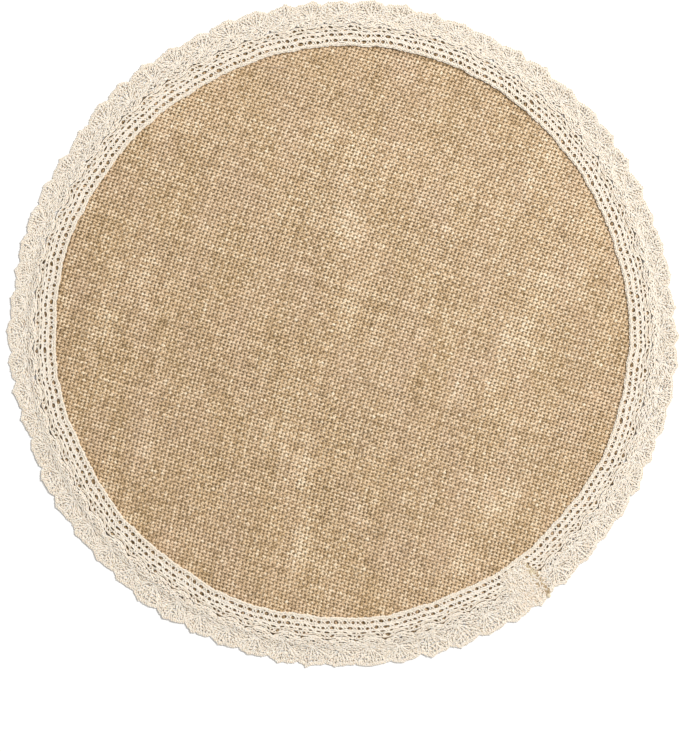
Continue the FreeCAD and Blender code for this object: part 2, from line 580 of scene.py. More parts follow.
@dataclass
class Lay:
    """How the whole skirt lies on the table: flat, with the slight rises that cloth keeps from its folds."""

    panel_radius: float
    panel_thickness: float
    drop_start: float
    drop_end: float
    rise: float = 0.7 * MM

    def swell(self, x: np.ndarray, y: np.ndarray) -> np.ndarray:
        """Return how far the cloth stands off the table at a place.

        It is three crossed sine waves, 90 to 160 mm long, kept above zero and faded out towards the rim.
        """
        wave = (
            np.sin(TURN * (x * 0.9 + y * 0.35) / 0.115 + 0.6)
            + np.sin(TURN * (x * -0.3 + y * 0.8) / 0.09 + 2.1)
            + np.sin(TURN * (x * 0.7 - y * 0.6) / 0.16 + 4.0)
        )
        fade = np.clip((self.panel_radius - np.hypot(x, y)) / (40 * MM), 0, 1)
        return self.rise * (wave / 6 + 0.5) * fade * (2 - fade)

    def lace_floor(self, radius: np.ndarray, angle: np.ndarray) -> np.ndarray:
        """Return the height of the lace's underside.

        It is the burlap's thickness out to where the lace drops, then an S-shaped drop to the table, and
        past that a slight curl, which some scallops have more of than others.
        """
        t = np.clip((radius - self.drop_start) / (self.drop_end - self.drop_start), 0, 1)
        step = self.panel_thickness * (1 - t * t * (3 - 2 * t))
        out = np.clip((radius - self.drop_end) / (10 * MM), 0, 1.4)
        curl = 0.5 + 0.3 * np.sin(9 * angle + 1.0) + 0.2 * np.sin(23 * angle + 0.4)
        return step + 0.9 * MM * curl * out * out


# ---------------------------------------------------------------- burlap


@dataclass
class BurlapCloth:
    """The plain-woven jute disc: rows and columns of yarn, each over one and under the next."""

    lay: Lay
    finish: YarnFinish = JUTE
    web: PaintedShadeWebFinish = PaintedShadeWebFinish()
    row_pitch: float = 1.87 * MM
    column_pitch: float = 2.12 * MM
    angle: float = math.radians(-17)
    bow: float = 0.82
    row_width: float = 1.64 * MM
    column_width: float = 1.92 * MM
    flattening: tuple[float, float] = (1.15, 0.82)
    sides: int = 4
    covered_from: float = 161 * MM
    yarn_thickness: float = 0.66 * MM
    bands: int = 3
    rings_per_crossing: int = 2
    seed: int = 11

    def place(self, a: np.ndarray, b: np.ndarray, z: np.ndarray) -> np.ndarray:
        """Turn weave coordinates into places on the skirt.

        The columns bow sideways by half the bow times the square of the distance along them, and the whole
        weave is turned by the cloth's angle.

        Args:
            a: Distance along the rows.
            b: Distance along the columns.
            z: Height in the cloth.

        Returns:
            Points, with the swell of the lay added to their height.
        """
        across = a + 0.5 * self.bow * b * b
        x = across * math.cos(self.angle) - b * math.sin(self.angle)
        y = across * math.sin(self.angle) + b * math.cos(self.angle)
        return np.stack([x, y, z + self.lay.swell(x, y)], axis=-1)

    def wear_and_painted_light(self, a: np.ndarray, b: np.ndarray) -> np.ndarray:
        """Return how much paler the yarns are: in streaks where the folded cloth was rubbed, and towards one
        side as painted light.

        It is what rises above a level in a sum of three waves, short across the columns and long along
        them, that drift sideways, and slow waves that make the streaks come and go. The whole cloth is also
        painted steadily paler towards the upper right, as painted light from the lamp's side.
        """
        drift = 5 * MM * np.sin(TURN * b / 0.083 + 0.8)
        fine = np.sin(TURN * (a + drift) / 0.023 + 1.1) + 0.7 * np.sin(TURN * (a - drift) / 0.0147 + 2.9)
        wide = np.sin(TURN * (a + 0.1 * b) / 0.112 + 2.2) + 0.5 * np.sin(TURN * b / 0.013 + 30 * a)
        slow = np.sin(TURN * b / 0.131 + 3.0 * np.sin(TURN * a / 0.19))
        come_and_go = slow + 0.6 * np.sin(TURN * b / 0.043 + 40 * a)
        streak = 0.115 * np.clip(0.6 * fine + 0.9 * wide + 0.9 * come_and_go - 0.9, 0, 2.2) - 0.03
        # Painted light: a steady rise in paleness towards the upper right, where the lamp is.
        return streak + 0.36 * (a * math.cos(0.9) + b * math.sin(0.9))

    def yarns(self, name: str, along_rows: bool) -> list[bpy.types.Object]:
        """Build one set of yarns, in bands that each stay a reasonable size.

        A yarn's height is the middle of the cloth plus or minus a cosine that peaks at every crossing. It is
        pressed wide at a crossing and narrow between two. Its width and thickness also vary along it, one
        growing as the other shrinks, with a slub here and there. Under the lace it is made darker, as
        painted shade.

        Args:
            name: The start of the pieces' names.
            along_rows: Whether the yarns run along the rows.

        Returns:
            The bands, as dressed pieces.
        """
        own, other = self.row_pitch, self.column_pitch
        if not along_rows:
            own, other = other, own
        rng = np.random.default_rng(self.seed + along_rows)
        reach = self.lay.panel_radius * 1.1
        count, crossings = int(reach / own), int(reach / other)
        index = np.arange(-count, count + 1)
        steps = np.arange(-crossings * self.rings_per_crossing, crossings * self.rings_per_crossing + 1)
        s = steps[None, :] * other / self.rings_per_crossing
        shape = (len(index), len(steps))
        wander = 0.10 * smooth_noise(rng, shape, s, 8 * MM) + 0.10 * rng.normal(size=shape)
        offset = index[:, None] * own + wander * MM
        amplitude = self.yarn_thickness / 2
        parity = np.where(index % 2 == 0, 1.0, -1.0)[:, None] * (-1 if along_rows else 1)
        z = self.lay.panel_thickness / 2 + amplitude * parity * np.cos(math.pi * s / other)
        z = z + 0.05 * MM * rng.normal(size=shape)
        a, b = (s + 0 * offset, offset) if along_rows else (offset, s + 0 * offset)
        path = self.place(a, b, z)
        keep = np.hypot(path[..., 0], path[..., 1]) < self.lay.panel_radius
        uneven = 1 + 0.10 * smooth_noise(rng, shape, s, 9 * MM) + 0.08 * rng.normal(size=(len(index), 1))
        slub = np.maximum(0, smooth_noise(rng, shape, s, 13 * MM) - 1.05)
        grown = np.clip(uneven + 1.2 * slub + 0.12 * rng.normal(size=shape), 0.65, 1.5)
        bead = np.where(steps % self.rings_per_crossing == 0, *self.flattening)
        half_width = (self.row_width if along_rows else self.column_width) / 2 * grown * bead
        half_height = self.yarn_thickness / 2 * np.clip(1 / np.sqrt(grown), 0.85, 1.1)
        per_yarn = 0.03 * rng.normal(size=(len(index), 1))
        shade = 0.5 + 0.05 * smooth_noise(rng, shape, s, 11 * MM) + per_yarn + 0.13 * rng.normal(size=shape)
        shade = shade + self.wear_and_painted_light(a, b) * (0.6 if along_rows else 1.0)
        # Painted shade: the yarns are darkened where the lace lies over them.
        painted_shade_under_lace = np.clip((np.hypot(path[..., 0], path[..., 1]) - self.covered_from) / (2 * MM), 0, 1)
        shade = shade - 0.32 * painted_shade_under_lace
        weight = np.cumsum(keep.sum(1))
        band_of = np.minimum((weight * self.bands / weight[-1]).astype(int), self.bands - 1)
        made = []
        for band in range(self.bands):
            own_band = (band_of == band) & keep.any(1)
            bundle = Strands(f"{name}_{band + 1}")
            bundle.add(
                path[own_band],
                half_width[own_band],
                half_height[own_band],
                np.clip(shade[own_band], 0, 1),
                sides=self.sides,
                keep=keep[own_band],
            )
            made.append(bundle.mesh())
        return made

    def stray_fibres(self, count: int = 420) -> bpy.types.Object:
        """Build the loose hairs of jute that lie on the cloth.

        Each is a shallow arc, a parabola across its own direction, with both ends tucked into the cloth.
        """
        rng = np.random.default_rng(self.seed + 7)
        rings = 9
        t = np.linspace(-1, 1, rings)[None, :]
        radius = (self.lay.panel_radius - 16 * MM) * np.sqrt(rng.uniform(0, 1, (count, 1)))
        turn = rng.uniform(0, TURN, (count, 1))
        way = rng.uniform(0, TURN, (count, 1))
        half = rng.gamma(3.0, 1.4, (count, 1)) * MM
        bow = rng.normal(0, 0.25, (count, 1)) * half * (1 - t * t)
        wave = 0.12 * MM * np.sin(5 * t + turn)
        x = radius * np.cos(turn) + half * t * np.cos(way) - (bow + wave) * np.sin(way)
        y = radius * np.sin(turn) + half * t * np.sin(way) + (bow + wave) * np.cos(way)
        z = self.lay.panel_thickness + (0.12 - 0.5 * t**4) * MM + self.lay.swell(x, y)
        bundle = Strands("burlap_stray_fibres")
        shade = np.clip(rng.choice([0.05, 0.75, 0.95], (count, 1)) + 0.1 * rng.normal(size=(count, 1)), 0, 1)
        bundle.add(np.stack([x, y, z], axis=-1), 0.07 * MM, 0.06 * MM, shade, sides=3)
        return bundle.mesh()

    def ground(self) -> bpy.types.Object:
        """Build the web, a sheet for loose fibre coloured as painted shade, as a thin closed disc at the
        middle of the cloth.

        Its two faces are rings of points at even radii, joined at the rim and to one point at the centre.
        """
        rings, spokes, half = 40, 120, 0.1 * MM
        radius = self.lay.panel_radius * np.arange(1, rings + 1) / rings
        turn = TURN * np.arange(spokes) / spokes
        x = np.concatenate([[0.0], (radius[:, None] * np.cos(turn)).ravel()])
        y = np.concatenate([[0.0], (radius[:, None] * np.sin(turn)).ravel()])
        middle = self.lay.panel_thickness / 2 + self.lay.swell(x, y)
        top = np.stack([x, y, middle + half], axis=1)
        bottom = np.stack([x, y, middle - half], axis=1)
        count = len(x)
        k = np.arange(spokes)
        k_next = (k + 1) % spokes
        inner = 1 + np.arange(rings - 1)[:, None] * spokes
        quads = np.stack([inner + k, inner + spokes + k, inner + spokes + k_next, inner + k_next], axis=2)
        quads = quads.reshape(-1, 4)
        last = 1 + (rings - 1) * spokes
        rim = np.stack([last + k, last + k + count, last + k_next + count, last + k_next], axis=1)
        fan = np.stack([np.zeros(spokes, int), 1 + k, 1 + k_next], axis=1)
        faces = [quads, quads[:, ::-1] + count, rim]
        fans = [fan, fan[:, ::-1] + count]
        corners = [f.ravel() for f in faces + fans]
        sizes = [np.full(len(f), f.shape[1]) for f in faces + fans]
        verts = np.concatenate([top, bottom])
        maps = [verts[c][:, :2] for c in corners]
        return _write_mesh("burlap_ground", verts, corners, sizes, maps, np.full(len(verts), 0.5))

    def build(self) -> tuple[bpy.types.Object, list[bpy.types.Object]]:
        """Build and dress the cloth.

        Returns:
            The web, which is the cloth's sheet, and the yarns that go with it.
        """
        jute = self.finish.material()
        ground = dress(self.ground(), self.web.material(), Slot.JUTE, "burlap_panel")
        yarns = self.yarns("burlap_row_yarns", True) + self.yarns("burlap_column_yarns", False)
        yarns.append(self.stray_fibres())
        for piece in yarns:
            dress(piece, jute, Slot.JUTE)
        return ground, yarns


# ---------------------------------------------------------------- lace


def ripple(angle: np.ndarray, *waves: tuple[float, int, float]) -> np.ndarray:
    """Return a sum of cosines round the rim, each given as its size, whole waves and degrees ahead."""
    return sum(size * np.cos(count * angle + math.radians(ahead)) for size, count, ahead in waves)


@dataclass
class LaceTape:
    """The crocheted tape.

    A place on it is a number of scallops round the rim, counted anticlockwise from a scallop's middle, a
    distance out from the tape's inner edge and a height above what it lies on.
    """

    lay: Lay
    inner_radius: float
    tip_radius: float
    scallops: int = 68
    scallop_depth: float = 2.0 * MM
    yarn: float = 0.72 * MM
    eyelets: int = 3
    gap_place: float = -0.44
    base_out: float = 12.3 * MM
    fan_out: float = 17.0 * MM
    fan_open: tuple[float, float] = (3.0 * MM, 6.3 * MM)
    lap_start: float = math.radians(-51.2)
    lap_end: float = math.radians(-57.4)
    seed: int = 29

    def turn(self, u: np.ndarray) -> np.ndarray:
        """Return the angle for a number of scallops: even steps, with the drift of hand feeding."""
        even = TURN * u / self.scallops
        return even + 0.006 * np.sin(5 * even + 0.7) + 0.004 * np.sin(11 * even + 2.0)

    def inner(self, angle: np.ndarray) -> np.ndarray:
        """Return the inner edge's radius: a circle that wanders, as the tape was guided by hand."""
        slow = ripple(
            angle, (1.3, 1, -81), (0.6, 4, 59), (0.4, 3, 152), (0.4, 2, -53), (0.3, 12, -104), (0.3, 13, 7)
        )
        quick = ((0.18, 31, 0.4), (0.16, 47, 2.2), (0.14, 79, 4.1))
        wander = sum((size * np.cos(count * angle + ahead) for size, count, ahead in quick), slow)
        return self.inner_radius + wander * MM

    def outer(self, u: np.ndarray) -> np.ndarray:
        """Return the scalloped edge's radius.

        Each scallop is an arch of a cosine, rising slowly and falling fast as the tape runs clockwise, with
        a small point at its crown and a size of its own. Slow waves of the whole edge are added.
        """
        edge = TURN * u / self.scallops
        s = u + 0.10 + 0.05 * np.sin(TURN * 11 * u / self.scallops + 1.0)
        s = s + 0.04 * np.sin(TURN * 19 * u / self.scallops)
        lean = s - 0.11 * (1 - np.cos(TURN * s))
        arch = np.abs(np.cos(math.pi * lean)) ** 0.75
        whole = np.round(lean)
        size = 1 + 0.35 * np.sin(12.9 * whole) * np.cos(5.3 * whole)
        point = np.exp(-(((lean - whole) / 0.08) ** 2)) * (0.95 + 0.45 * np.sin(7.7 * whole))
        slow = ripple(
            edge, (0.38, 6, 36), (0.36, 8, 56), (0.3, 13, 106), (0.3, 15, 131), (0.25, 26, 26), (0.4, 1, -20)
        )
        return self.tip_radius - 2.6 * MM + (slow + point) * MM + self.scallop_depth * (arch * size - 1)

    def edge_out(self, u: np.ndarray) -> np.ndarray:
        """Return the tape's width at a number of scallops."""
        return self.outer(u) - self.inner(self.turn(u))

    def pitch(self, out: np.ndarray) -> np.ndarray:
        """Return the length of one scallop's share of the rim at a distance out."""
        return TURN * (self.inner_radius + out) / self.scallops

    def place(self, u: np.ndarray, out: np.ndarray, height: np.ndarray) -> np.ndarray:
        """Turn tape coordinates into places on the skirt.

        Args:
            u: Number of scallops round the rim.
            out: Distance from the inner edge.
            height: Height above what the lace lies on.

        Returns:
            Points.
        """
        angle = self.turn(u)
        radius = self.inner(angle) + out
        x, y = radius * np.cos(angle), radius * np.sin(angle)
        z = self.lay.lace_floor(radius, angle) + height + self.lay.swell(x, y)
        return np.stack(np.broadcast_arrays(x, y, z), axis=-1)

    def shades(self, path: np.ndarray, salt: int, middle: float = 0.55) -> np.ndarray:
        """Return gently varying shades along some lace strands."""
        rng = np.random.default_rng(self.seed + salt)
        strands, rings = path.shape[:2]
        steps = np.arange(rings)[None, :] / rings
        gentle = 0.08 * smooth_noise(rng, (strands, rings), steps, 0.013)
        per_strand = 0.06 * rng.normal(size=(strands, 1))
        return middle + gentle + per_strand + 0.07 * rng.normal(size=(strands, rings))

    def crochet(
        self,
        bundle: Strands,
        path: np.ndarray,
        salt: int,
        middle: float = 0.55,
        wide: float | np.ndarray = 0.5,
        high: float = 0.42,
        sides: int = 5,
        loop: bool = True,
    ) -> None:
        """Add lace strands to a bundle.

        Args:
            bundle: Where the strands go.
            path: The strands' middles.
            salt: Picks the seeded shades.
            middle: The strands' usual shade.
            wide: Half their width, as a share of the yarn.
            high: Half their thickness, as a share of the yarn.
            sides: Points in a ring.
            loop: Whether they run right round the rim.
        """
        shade = self.shades(path, salt, middle)
        bundle.add(path, self.yarn * wide, self.yarn * high, shade, sides=sides, loop=loop)

    def rim_noise(self, salt: int, u: np.ndarray, wave: float, count: int = 1) -> np.ndarray:
        """Return unevenness round the whole rim that meets itself, by whole numbers of waves.

        Args:
            salt: Picks the seeded phases.
            u: Number of scallops round the rim.
            wave: Length of the shortest wave, in scallops.
            count: How many separate runs of it.

        Returns:
            Values of about -1 to 1, as count x the length of u.
        """
        rng = np.random.default_rng(self.seed + salt)
        total = np.zeros((count, len(u)))
        for stretch in (1.0, 1.7, 2.9, 5.3):
            whole = round(self.scallops / (wave * stretch))
            total += np.sin(TURN * whole * u[None, :] / self.scallops + rng.uniform(0, TURN, (count, 1)))
        return total / 2.6

    def plait(
        self, bundle: Strands, out: float, width: float, stitch: float, rings: int, strands: int = 3
    ) -> None:
        """Add a flat plait that runs round the rim.

        Each strand swings across by a sine and up and down by a sine of twice the pace, one share of a swing
        behind the last, and the whole plait wanders a little.

        Args:
            bundle: Where the strands go.
            out: The plait's middle, from the inner edge.
            width: The width between the strands' outermost middles.
            stitch: The length of one whole swing.
            rings: Rings to a swing.
            strands: How many strands are plaited.
        """
        swings = round(TURN * (self.inner_radius + out) / stitch)
        steps = np.arange(swings * rings)
        u = self.scallops * steps / len(steps)
        salt = int(out / MM * 13)
        phase = TURN * (steps / rings)[None, :] + TURN * np.arange(strands)[:, None] / strands
        wander = 0.2 * MM * self.rim_noise(salt, u, 0.19)
        uneven = 1 + 0.35 * self.rim_noise(salt + 1, u, 0.13)
        across = out + wander + uneven * width / 2 * np.sin(phase)
        height = 0.62 * self.yarn + 0.24 * self.yarn * np.sin(2 * phase)
        path = self.place(u[None, :] + 0 * phase, across, height)
        self.crochet(bundle, path, salt)

    def eyelet_row(
        self,
        bundle: Strands,
        out: float,
        height: float,
        stagger: float,
        spread: float,
        sway: float = 0.0,
        gather: float = 0.0,
    ) -> None:
        """Add one row of eyelets: four strands that cross between holes and part round them.

        A strand keeps near one side of the row, then crosses quickly to the other: the hyperbolic tangent
        of a steep sine. Two strands go opposite ways, and two more do so a little later. Noise moves the
        crossings along the row and opens or closes each hole. The row dips towards each gap in the shells.

        Args:
            bundle: Where the strands go.
            out: The row's middle, from the inner edge.
            height: From one side's strands to the other's.
            stagger: Shift along the rim, in eyelets.
            spread: How far apart the two crossings between two holes are, in eyelets.
            sway: How far the row moves out where the shells have their gaps.
            gather: How much wider its holes are at those gaps, and narrower between, as a share.
        """
        rings = 9
        steps = np.arange(self.scallops * self.eyelets * rings)
        eyelet = steps / rings
        u = eyelet / self.eyelets
        salt = int(out / MM * 10)
        jitter = 0.11 * self.rim_noise(salt, u, 0.41)[0]
        wave = math.pi * (eyelet + stagger + jitter)
        towards_gap = np.cos(TURN * (u - self.gap_place))
        opening = (1 + 0.26 * self.rim_noise(salt + 1, u, 0.55, 2)) * (1 + gather * towards_gap)
        middle = out + sway * towards_gap + 0.12 * MM * self.rim_noise(salt + 2, u, 0.8)[0]
        paths = []
        crossings = ((1, -spread, 0.5), (-1, -spread, 0.8), (1, spread, 0.8), (-1, spread, 0.5))
        for way, shift, raised in crossings:
            cross = np.tanh(2.1 * np.sin(wave + math.pi * shift)) / math.tanh(2.1)
            side = np.where(way * cross > 0, opening[0], opening[1])
            across = middle + way * height / 2 * cross * side
            lift = self.yarn * (raised + 0.2 * way * np.cos(wave))
            paths.append(self.place(u, across, lift))
        path = np.stack(paths)
        self.crochet(bundle, path, salt, wide=0.48, high=0.44)

    def gap_rows(self, bundle: Strands) -> None:
        """Add the two strands under the shells that part into one larger gap between each two shells.

        They lie side by side and move apart by a bell curve at the gap, and by smaller ones beside it.
        """
        rings = 24
        steps = np.arange(self.scallops * rings)
        u = steps / rings
        from_gap = (u - self.gap_place + 0.5) % 1 - 0.5
        bells = np.exp(-((from_gap / 0.07) ** 2))
        beside = np.exp(-(((np.abs(from_gap) - 0.21) / 0.05) ** 2))
        noise = self.rim_noise(71, u, 0.5, 2)
        part = 0.42 * MM + (1.15 + 0.25 * noise[0]) * MM * bells + (0.22 + 0.15 * noise[1]) * MM * beside
        middle = self.base_out + 0.55 * MM * np.cos(TURN * from_gap)
        waves = np.sin(TURN * u * 9)
        paths = [
            self.place(u, middle + way * (part + 0.08 * MM * waves), self.yarn * (0.7 + 0.3 * way * waves))
            for way in (-1, 1)
        ]
        path = np.stack(paths)
        self.crochet(bundle, path, 72, wide=0.55, high=0.45)

    def foot(self, u: np.ndarray) -> np.ndarray:
        """Return how far out the shells start: a base line that moves out at each gap by a cosine."""
        return self.base_out + 0.75 * MM + 1.6 * MM * np.cos(TURN * (u - self.gap_place))

    def ground_rows(self, bundle: Strands, rows: int = 9) -> None:
        """Add the shells' foundation: flat chains that follow the base at first and the scallops at last.

        Args:
            bundle: Where the chains go.
            rows: How many chains.
        """
        rings = 34
        steps = np.arange(self.scallops * rings)
        u = steps / rings
        share = np.linspace(0, 1, rows)[:, None]
        first = self.foot(u)
        last = self.edge_out(u) - 1.5 * MM
        wave = TURN * steps / 4 + math.pi * np.arange(rows)[:, None]
        out = first + (last - first) * share + 0.24 * MM * np.sin(wave)
        x, y = self.from_fan(u[None, :], out)
        reach = np.hypot(x, y)
        sunk = np.exp(-(((reach - 4.6 * MM) / (1.7 * MM)) ** 2)) * (y > -1.5 * MM)
        height = self.yarn * (0.62 - 0.2 * sunk) + 0.1 * MM * np.cos(wave)
        path = self.place(u[None, :] + 0 * out, out, height)
        # The foundation under the fans and stitches takes a slightly darker shade, 0.5, as painted shade.
        self.crochet(bundle, path, 73, 0.5, wide=0.9 - 0.12 * sunk, high=0.34, sides=4)

    def from_fan(self, u: np.ndarray, out: np.ndarray) -> tuple[np.ndarray, np.ndarray]:
        """Return how far places lie across and out from the middle of their own shell's fan."""
        whole = np.round(u)
        return (u - whole) * self.pitch(out), out - self.fan_out

    def fan_posts(self, bundle: Strands, posts: int, start: float, salt: int) -> None:
        """Add the fans: pairs of strands, twisted together, that spread from the middle of each shell.

        A post leaves the fan's middle at its own angle and ends at the next shell or at the edge, whichever
        comes first. Its two strands wind round each other, and it dives under and over the foundation.

        Args:
            bundle: Where the posts go.
            posts: Posts to a fan.
            start: How far from the fan's middle they start.
            salt: Picks the seeded unevenness.
        """
        rng = np.random.default_rng(self.seed + salt)
        count = self.scallops * posts
        shell = np.repeat(np.arange(self.scallops), posts)
        step = math.radians(216) / (posts - 1)
        spread = (np.arange(posts) - (posts - 1) / 2) * step
        angle = np.tile(spread, self.scallops) + 0.09 * rng.normal(size=count)
        middle = shell + 0.02 * rng.normal(size=self.scallops)[shell]
        lift_out = self.fan_out + 0.5 * MM * rng.normal(size=self.scallops)[shell]
        reach = np.linspace(start, 15 * MM, 70)[None, :]
        across, away = reach * np.sin(angle)[:, None], reach * np.cos(angle)[:, None]
        out = lift_out[:, None] + away
        u = middle[:, None] + across / self.pitch(out)
        inside = (np.abs(u - shell[:, None] - 0.05) < 0.5) & (out < self.edge_out(u) - 1.0 * MM)
        inside &= out > self.base_out + 1.0 * MM
        far = reach[0][np.maximum(np.cumprod(inside, axis=1).sum(1) - 1, 1)]
        useful = far > start + 1.2 * MM
        angle, middle, lift_out, far = angle[useful], middle[useful], lift_out[useful], far[useful]
        rings = 8
        t = np.linspace(0, 1, rings)[None, :]
        length = start + (far[:, None] - start) * t
        bend = angle[:, None] + 0.06 * rng.normal(size=(len(far), 1)) * t * t
        out = lift_out[:, None] + length * np.cos(bend)
        u = middle[:, None] + length * np.sin(bend) / self.pitch(out)
        wind = rng.uniform(0, TURN, (len(far), 1))
        dive = np.cos(TURN * length / (2.5 * MM) + math.pi * np.arange(len(far))[:, None])
        open_part = np.exp(-(((length - 4.6 * MM) / (1.5 * MM)) ** 2))
        paths = []
        for half in (0, 1):
            phase = wind + TURN * length / (2.3 * MM) + math.pi * half
            side = 0.33 * MM * np.cos(phase) * (1 - 0.3 * open_part)
            sway_out = -side * np.sin(bend)
            sway_u = side * np.cos(bend) / self.pitch(out)
            height = self.yarn * (0.96 + 0.2 * np.sin(phase) + 0.33 * dive * (1 - open_part))
            paths.append(self.place(u + sway_u, out + sway_out, height))
        path = np.concatenate(paths)
        self.crochet(bundle, path, salt, 0.6, wide=0.47, loop=False)

    def shell_stitches(self, bundle: Strands, across: int = 10, away: int = 11) -> None:
        """Add the shells' short stitches: humps of yarn, each a parabola in height, in an uneven grid.

        Near a fan's middle they point away from it; under it they lie along the tape, and at the edge
        across it; each leans its own way as well. Few of them cover the fan's openings.

        Args:
            bundle: Where the stitches go.
            across: Stitches across a shell.
            away: Stitches from a shell's foot to its edge.
        """
        rng = np.random.default_rng(self.seed + 8)
        count = self.scallops * across * away
        cell = np.arange(count)
        u = (cell // away) / across - 0.5 + 0.75 * rng.uniform(-0.5, 0.5, count) / across
        share = (cell % away + 0.5 + 0.8 * rng.uniform(-0.5, 0.5, count)) / away
        foot = self.foot(u)
        out = foot + (self.edge_out(u) - 1.3 * MM - foot) * share
        x, y = self.from_fan(u, out)
        reach, way = np.hypot(x, y), np.arctan2(x, y)
        in_opening = (reach > self.fan_open[0]) & (reach < self.fan_open[1]) & (np.abs(way) < 1.3)
        kept = ~in_opening | (rng.uniform(size=count) < 0.4)
        u, out, reach, way, share = u[kept], out[kept], reach[kept], way[kept], share[kept]
        below = np.abs(way) > 1.7
        way = np.where(below, math.pi / 2, np.where(share > 0.86, 0.0, way)) + rng.normal(0, 0.5, len(u))
        t = np.linspace(-1, 1, 5)[None, :]
        length = rng.uniform(0.8, 1.45, (len(u), 1)) * MM * t
        bend = way[:, None] + 0.35 * rng.normal(size=(len(u), 1)) * t
        places = u[:, None] + length * np.sin(bend) / self.pitch(out)[:, None]
        outs = np.minimum(out[:, None] + length * np.cos(bend), self.edge_out(places) - 0.7 * MM)
        height = self.yarn * (0.98 + 0.35 * (1 - t * t) + 0.12 * rng.normal(size=(len(u), 1)))
        path = self.place(places, outs, height)
        self.crochet(bundle, path, 74, 0.6, sides=4, loop=False)

    def edging(self, bundle: Strands, per_scallop: int = 5) -> None:
        """Add the edging: a loose three-strand plait that follows the scallops, with its small picots.

        The outermost swings are drawn out a little more, each by its own amount.
        """
        rings = 8
        steps = np.arange(self.scallops * per_scallop * rings)
        u = steps / (per_scallop * rings)
        phase = TURN * (steps / rings)[None, :] + TURN * np.arange(3)[:, None] / 3
        swing = np.sin(phase)
        picot = np.maximum(swing, 0) ** 3 * (0.35 + 0.35 * self.rim_noise(81, u, 0.11, 3)) * MM
        out = self.edge_out(u) - 1.0 * MM + 0.62 * MM * swing + picot + 0.15 * MM * self.rim_noise(82, u, 0.2)
        height = self.yarn * (0.8 + 0.35 * np.sin(2 * phase))
        path = self.place(u[None, :] + 0 * phase, out, height)
        self.crochet(bundle, path, 4)

    def lapped_end(self, bundle: Strands) -> None:
        """Add the tape's end that laps over its start: chains along the tape and short stitches over them.

        The chains are flat and close together. Each stitch is a hump, a parabola in height, that leans its
        own way.
        """
        first, last = (self.scallops * a / TURN for a in (self.lap_start, self.lap_end))
        rng = np.random.default_rng(self.seed + 9)
        fold, chains, chain_rings = 3.2 * MM, 27, 30
        u = np.linspace(first, last, chain_rings)[None, :]
        share = np.linspace(0, 1, chains)[:, None]
        out = fold + (self.edge_out(u) - 1.6 * MM - fold) * share
        wave = TURN * np.arange(chain_rings)[None, :] / 4 + math.pi * np.arange(chains)[:, None]
        settled = np.clip((u - last) / (0.5 * (first - last)), 0, 1) ** 0.7
        height = (0.45 + 0.45 * settled + 0.1 * np.cos(wave)) * MM + 0 * out
        path = self.place(u + 0 * out, out + 0.2 * MM * np.sin(wave), height)
        # The chains under the stitches take a darker shade, 0.4, as painted shade in the creases.
        self.crochet(bundle, path, 91, 0.4, wide=0.7, high=0.4, loop=False)
        stitches, t = 400, np.linspace(-1, 1, 6)[None, :]
        middle_u = rng.uniform(last + 0.03, first - 0.03, stitches)[:, None]
        room = self.edge_out(middle_u[:, 0]) - 2.2 * MM - fold
        middle_out = (fold + room * rng.uniform(0.02, 1, stitches))[:, None]
        lean = rng.normal(0, 1.1, (stitches, 1))
        length = rng.uniform(0.8, 1.5, (stitches, 1)) * MM * t
        u = middle_u + length * np.sin(lean) / self.pitch(12 * MM)
        settled = np.clip((u - last) / (0.5 * (first - last)), 0, 1) ** 0.7
        height = 0.55 + 0.45 * settled + 0.55 * (1 - t * t) + 0.14 * rng.normal(size=u.shape)
        path = self.place(u, middle_out + length * np.cos(lean), height * MM)
        self.crochet(bundle, path, 92, loop=False)

    def build(self, cotton: bpy.types.Material) -> list[bpy.types.Object]:
        """Build and dress the tape.

        Args:
            cotton: The lace yarn's finish.

        Returns:
            The tape's pieces.
        """
        names = ("heading_plait", "inner_eyelets", "outer_eyelets", "row_chains", "shell_ground")
        names += ("shell_fans", "shell_foot", "shell_stitches_1", "shell_stitches_2", "edging", "lap")
        tape = {name: Strands("lace_" + name) for name in names}
        self.plait(tape["heading_plait"], 1.0 * MM, 1.25 * MM, 3.9 * MM, 10)
        self.eyelet_row(tape["inner_eyelets"], 3.1 * MM, 2.6 * MM, 0.0, 0.17)
        self.eyelet_row(tape["inner_eyelets"], 6.4 * MM, 2.35 * MM, 0.5, 0.17)
        self.eyelet_row(tape["outer_eyelets"], 8.75 * MM, 1.55 * MM, 0.0, 0.15, 0.25 * MM, 0.15)
        self.eyelet_row(tape["outer_eyelets"], 10.45 * MM, 1.7 * MM, 0.5, 0.19, 0.7 * MM, 0.5)
        self.plait(tape["row_chains"], 4.72 * MM, 0.6 * MM, 3.4 * MM, 6, 2)
        self.plait(tape["row_chains"], 7.6 * MM, 0.3 * MM, 3.4 * MM, 6, 2)
        self.ground_rows(tape["shell_ground"])
        self.fan_posts(tape["shell_fans"], 10, 0.5 * MM, 5)
        self.gap_rows(tape["shell_foot"])
        self.shell_stitches(tape["shell_stitches_1"])
        tape["shell_stitches_1"].halve(tape["shell_stitches_2"])
        self.edging(tape["edging"])
        self.lapped_end(tape["lap"])
        stands_for = {
            "heading_plait": ("lace_heading",),
            "inner_eyelets": ("lace_eyelet_net",),
            "shell_ground": ("lace_shell_edge",),
            "lap": ("lace_lapped_end",),
        }
        return [
            dress(bundle.mesh(), cotton, Slot.LACE, *stands_for.get(name, ()))
            for name, bundle in tape.items()
        ]


# ---------------------------------------------------------------- sewing


